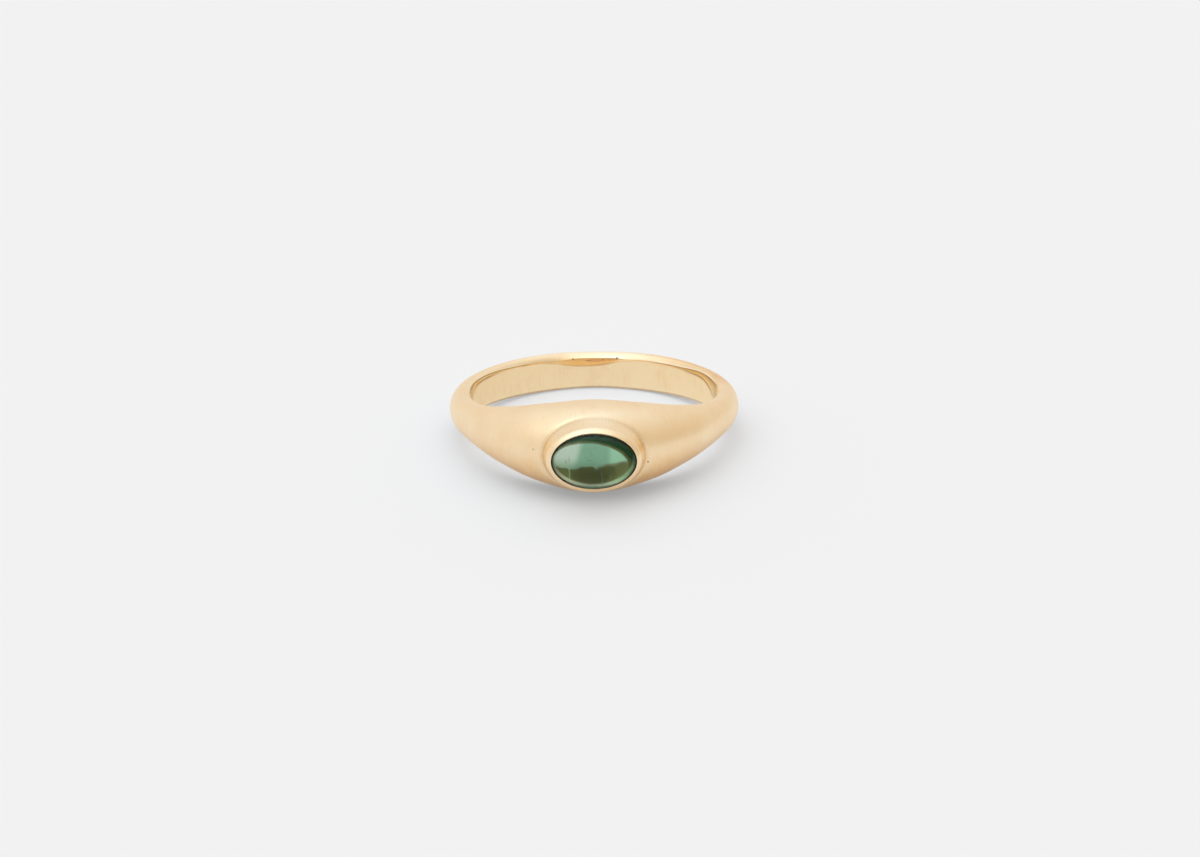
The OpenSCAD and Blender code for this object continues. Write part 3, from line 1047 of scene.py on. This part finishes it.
def pale_zone(tree, u, shifted, wobble, stone):
    """The upper zone, a painted reflection: whitish on the left behind a slanted border, clearer on the right
    and in clouds.
    """
    slanted = plus(tree, u, times(tree, shifted, -0.35))
    white_reflection = spread(tree, slanted, -0.7, -1.25, ease="SMOOTHSTEP")
    white_reflection = times(tree, white_reflection, spread(tree, shifted, -0.6, 0.0))
    pale = blend(tree, white_reflection, stone.pale, stone.white_reflection)
    pale = blend(tree, spread(tree, u, 0.72, 1.15, ease="SMOOTHSTEP"), pale, stone.clear)
    return blend(tree, times(tree, wobble, 0.3), pale, stone.clear)


def stone_zones(tree, place, stone):
    """The colour at the stone's flat back: a pale zone of painted reflection, olive and dark zones of painted
    shade, the stone's own tubes and flecks, and a bright line of painted highlight.

    A place there is u round the finger and v along it, and shifted is v with a slow wobble."""
    u, _, v = parts_of(tree, place)
    wobble = noise(tree, place, 2.2, 3.0)
    wave = times(tree, minus(tree, wobble, 0.5), 0.16)
    shifted = plus(tree, v, wave)

    line = ZONE_LINE
    for middle, width, height in ZONE_WAVES:
        line = plus(tree, line, bell(tree, u, middle, width, height))
    above = minus(tree, shifted, line)
    # Painted shade: the olive zone, deeper towards the lower side
    olive_shade = blend(tree, spread(tree, shifted, -0.45, -1.05), stone.olive_shade, stone.deep)
    zones = blend(tree, spread(tree, above, 0.03, -0.04), pale_zone(tree, u, shifted, wobble, stone), olive_shade)
    # Painted highlight: a whitish streak just below the zone line
    highlight_streak = spread(tree, calculate(tree, "ABSOLUTE", plus(tree, above, 0.06)), 0.03, 0.01)
    highlight_streak = times(tree, highlight_streak, spread(tree, u, -0.2, 0.2, 0.0, 0.25))
    zones = blend(tree, highlight_streak, zones, stone.white_reflection)

    for low, high, half in TUBES:
        zones = blend(tree, times(tree, tube(tree, u, v, low, high, half), 0.6), zones, stone.clear)
    for fleck in FLECKS:
        zones = blend(tree, spread(tree, in_oval(tree, u, v, fleck), 1.0, 0.4, 0.0, 0.85), zones, stone.deep)

    tilted = plus(tree, plus(tree, v, times(tree, u, 0.05)), times(tree, wave, 0.35))
    outer = in_oval(tree, u, tilted, PALE_OVAL)
    # Painted shade: the brown line round the pale zone and the dark zone outside it
    zones = blend(tree, spread(tree, outer, 0.98, 1.03), zones, stone.brown_shade)
    zones = blend(tree, spread(tree, outer, 1.06, 1.14, ease="SMOOTHSTEP"), zones, stone.rim)
    # Painted shade just outside the bright line, and the bright line itself, a painted highlight
    near = minus(tree, in_oval(tree, u, v, GLOW_OVAL), 1.0)
    zones = blend(tree, spread(tree, near, 0.0, 0.03), zones, stone.rim)
    width = spread(tree, u, 0.3, 1.9, 0.055, 0.09)
    glow = spread(tree, calculate(tree, "ABSOLUTE", near), width, times(tree, width, 0.4))
    glow = times(tree, glow, spread(tree, v, 0.3, -0.5))
    return blend(tree, glow, zones, blend(tree, spread(tree, u, 0.3, 1.5), stone.glow, stone.sheen))


def stone_material(band, bezel, stone):
    """Clear green tourmaline with painted reflection, shade and highlight in its zones at the flat back, and
    painted shade as a dark outline at the dome's edge.
    """
    material, _, links, shader = new_material("green_tourmaline")
    tree = material.node_tree
    place = ring_place(tree)
    u, y, v = parts_of(tree, place)
    _, girdle, back = (height / MM for height in stone_heights(band, bezel, stone))
    # Painted shade: the tint turns dark near the dome's edge
    outline = (0.0, 0.0, stone.stone_l / 2 / MM, 0.975 * stone.stone_w / 2 / MM)
    edge = spread(tree, in_oval(tree, u, v, outline), 0.875, 0.935)
    edge = times(tree, edge, spread(tree, y, -girdle, -(girdle + 0.2)))
    tint = blend(tree, edge, stone.tint, stone.edge)
    at_back = spread(tree, y, -(back + 0.06), -(back + 0.02))
    links.new(blend(tree, at_back, tint, stone_zones(tree, place, stone)), shader.inputs["Base Color"])
    shader.inputs["Specular Tint"].default_value = (*stone.gloss, 1.0)
    shader.inputs["Roughness"].default_value = 0.0
    shader.inputs["IOR"].default_value = STONE_IOR
    shader.inputs["Transmission Weight"].default_value = 1.0
    links.new(bump(tree, noise(tree, place, 1.3, 2.0), STONE_RELIEF), shader.inputs["Normal"])
    return material


class RING_OT_band(bpy.types.Operator):
    """Build the band's surface with its bezel and its gold"""

    bl_idname = "ring.build_band"
    bl_label = "Band and bezel"

    def execute(self, context):
        scene = context.scene
        points, faces, values = band_surface(scene.ring_band, scene.ring_bezel, scene.ring_stone)
        piece = new_piece("gold_band", points, faces, values)
        piece.data.materials.append(gold_material(scene.ring_gold, scene.ring_band))
        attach(piece, BODY)
        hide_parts("band")
        return {"FINISHED"}


class RING_OT_stone(bpy.types.Operator):
    """Build the cabochon and its clear green stone"""

    bl_idname = "ring.build_stone"
    bl_label = "Cabochon"

    def execute(self, context):
        scene = context.scene
        points, faces = stone_surface(scene.ring_band, scene.ring_bezel, scene.ring_stone)
        piece = new_piece("cabochon", points, faces)
        piece.data.materials.append(stone_material(scene.ring_band, scene.ring_bezel, scene.ring_stone))
        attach(piece, BODY)
        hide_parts("tourmaline")
        return {"FINISHED"}


def set_camera(stage):
    """Stands the camera at the view's angles from the hole's centre, rolled, and moved right and down."""
    flat = math.cos(stage.elevation)
    aside, ahead = math.sin(stage.azimuth), math.cos(stage.azimuth)
    back = Vector((aside * flat, -ahead * flat, math.sin(stage.elevation)))
    level = Vector((ahead, aside, 0.0))
    upward = back.cross(level)
    right = level * math.cos(stage.roll) + upward * math.sin(stage.roll)
    up = upward * math.cos(stage.roll) - level * math.sin(stage.roll)
    place = Vector(HOLE_CENTRE) + back * stage.distance + right * stage.shift_x - up * stage.shift_y
    camera = bpy.data.objects.new("camera", bpy.data.cameras.new("camera"))
    camera.data.lens = stage.lens
    camera.data.sensor_width = 36.0
    camera.data.clip_start = 0.01
    camera.data.clip_end = 20.0
    turn = Matrix((right, up, back)).transposed()
    camera.matrix_world = Matrix.Translation(place) @ turn.to_4x4()
    bpy.context.scene.collection.objects.link(camera)
    bpy.context.scene.camera = camera


# The light round the ring, which is added to the even light of the tent: azimuth from the front to the right
# and elevation in degrees, and strength in red, green and blue; and how narrow each softbox is
LIGHTS = (
    (-60, 63, (0.47, 0.56, 0.67)),
    (180, 63, (0.22, 0.39, 0.62)),
    (0, 35, (0.50, 0.50, 0.42)),
    (0, 63, (0.40, 0.44, 0.52)),
    (90, 5, (-0.15, -0.2, -0.28)),
    (36, 35, (-0.23, -0.27, -0.32)),
    (-120, 5, (0.06, 0.12, 0.20)),
)
LIGHT_NARROW = 9.0
TENT = (0.84, 0.775, 0.69)
# The dark opening at the front of the tent: half its width, the height of its middle and half its height, as
# parts of 1, and how dark it is
OPENING = (0.33, 0.34, 0.40)
OPENING_DARK = 0.85


def studio_world():
    """A light tent: even light, softboxes that fade with the angle from their middle, and a dark opening.

    A softbox's light is its strength times e to the power of its narrowness times the cosine less 1. The
    opening is a rectangle with round corners: the fourth powers of the place in it add up to less than 1."""
    world = bpy.data.worlds.new("studio")
    world.use_nodes = True
    tree = world.node_tree
    heading = tree.nodes.new("ShaderNodeTexCoord").outputs["Generated"]
    total = TENT
    for azimuth, elevation, strength in LIGHTS:
        turn, rise = math.radians(azimuth), math.radians(elevation)
        middle = (math.sin(turn) * math.cos(rise), -math.cos(turn) * math.cos(rise), math.sin(rise))
        near = calculate(tree, "DOT_PRODUCT", heading, middle, kind="ShaderNodeVectorMath", result=1)
        fade = calculate(tree, "EXPONENT", times(tree, minus(tree, near, 1.0), LIGHT_NARROW))
        total = calculate(tree, "MULTIPLY_ADD", vector_of(tree, fade, fade, fade), strength, total,
                          kind="ShaderNodeVectorMath")
    half_width, middle_z, half_height = OPENING
    x, y, z = parts_of(tree, heading)
    fourths = [
        calculate(tree, "POWER", calculate(tree, "ABSOLUTE", calculate(tree, "DIVIDE", off, half)), 4.0)
        for off, half in ((x, half_width), (minus(tree, z, middle_z), half_height))]
    inside = spread(tree, plus(tree, *fourths), 1.3, 0.7, ease="SMOOTHSTEP")
    hidden = times(tree, times(tree, inside, spread(tree, y, 0.0, -0.3)), OPENING_DARK)
    tree.links.new(total, tree.nodes["Background"].inputs["Color"])
    tree.links.new(minus(tree, 1.0, hidden), tree.nodes["Background"].inputs["Strength"])
    return world


class RING_OT_stage(bpy.types.Operator):
    """Set the floor, the studio light and the camera"""

    bl_idname = "ring.build_stage"
    bl_label = "Stage"

    def execute(self, context):
        scene = context.scene
        stage = scene.ring_stage
        corners = stage.reach * np.array([(-1, -1, 0), (1, -1, 0), (1, 1, 0), (-1, 1, 0)])
        floor = new_piece("floor", corners, [(0, 1, 2, 3)])
        material, _, _, shader = new_material("pale_floor")
        shader.inputs["Base Color"].default_value = (*stage.floor, 1.0)
        shader.inputs["Roughness"].default_value = 1.0
        shader.inputs["Specular IOR Level"].default_value = 0.0
        shader.inputs["Emission Color"].default_value = (1.0, 1.0, 1.0, 1.0)
        shader.inputs["Emission Strength"].default_value = stage.glow
        floor.data.materials.append(material)
        scene.world = studio_world()
        scene.view_settings.view_transform = "Standard"
        set_camera(stage)
        return {"FINISHED"}


OPERATORS = (RING_OT_band, RING_OT_stone, RING_OT_stage)


class RING_PT_panel(bpy.types.Panel):
    """Lists the ring's steps and sizes"""

    bl_label = "Cabochon Ring"
    bl_idname = "RING_PT_panel"
    bl_space_type = "VIEW_3D"
    bl_region_type = "UI"
    bl_category = "Ring"

    def draw(self, context):
        for operator in OPERATORS:
            self.layout.operator(operator.bl_idname)
        for setting, kind in SETTINGS.items():
            box = self.layout.box()
            box.label(text=kind.__doc__)
            for name in kind.__annotations__:
                box.prop(getattr(context.scene, setting), name)


def register():
    for kind in (*SETTINGS.values(), *OPERATORS, RING_PT_panel):
        bpy.utils.register_class(kind)
    for setting, kind in SETTINGS.items():
        setattr(bpy.types.Scene, setting, PointerProperty(type=kind))


def unregister():
    for setting in SETTINGS:
        delattr(bpy.types.Scene, setting)
    for kind in (RING_PT_panel, *OPERATORS[::-1], *reversed(SETTINGS.values())):
        bpy.utils.unregister_class(kind)


def main():
    register()
    bpy.ops.ring.build_band()
    bpy.ops.ring.build_stone()
    bpy.ops.ring.build_stage()


if __name__ == "__main__":
    main()
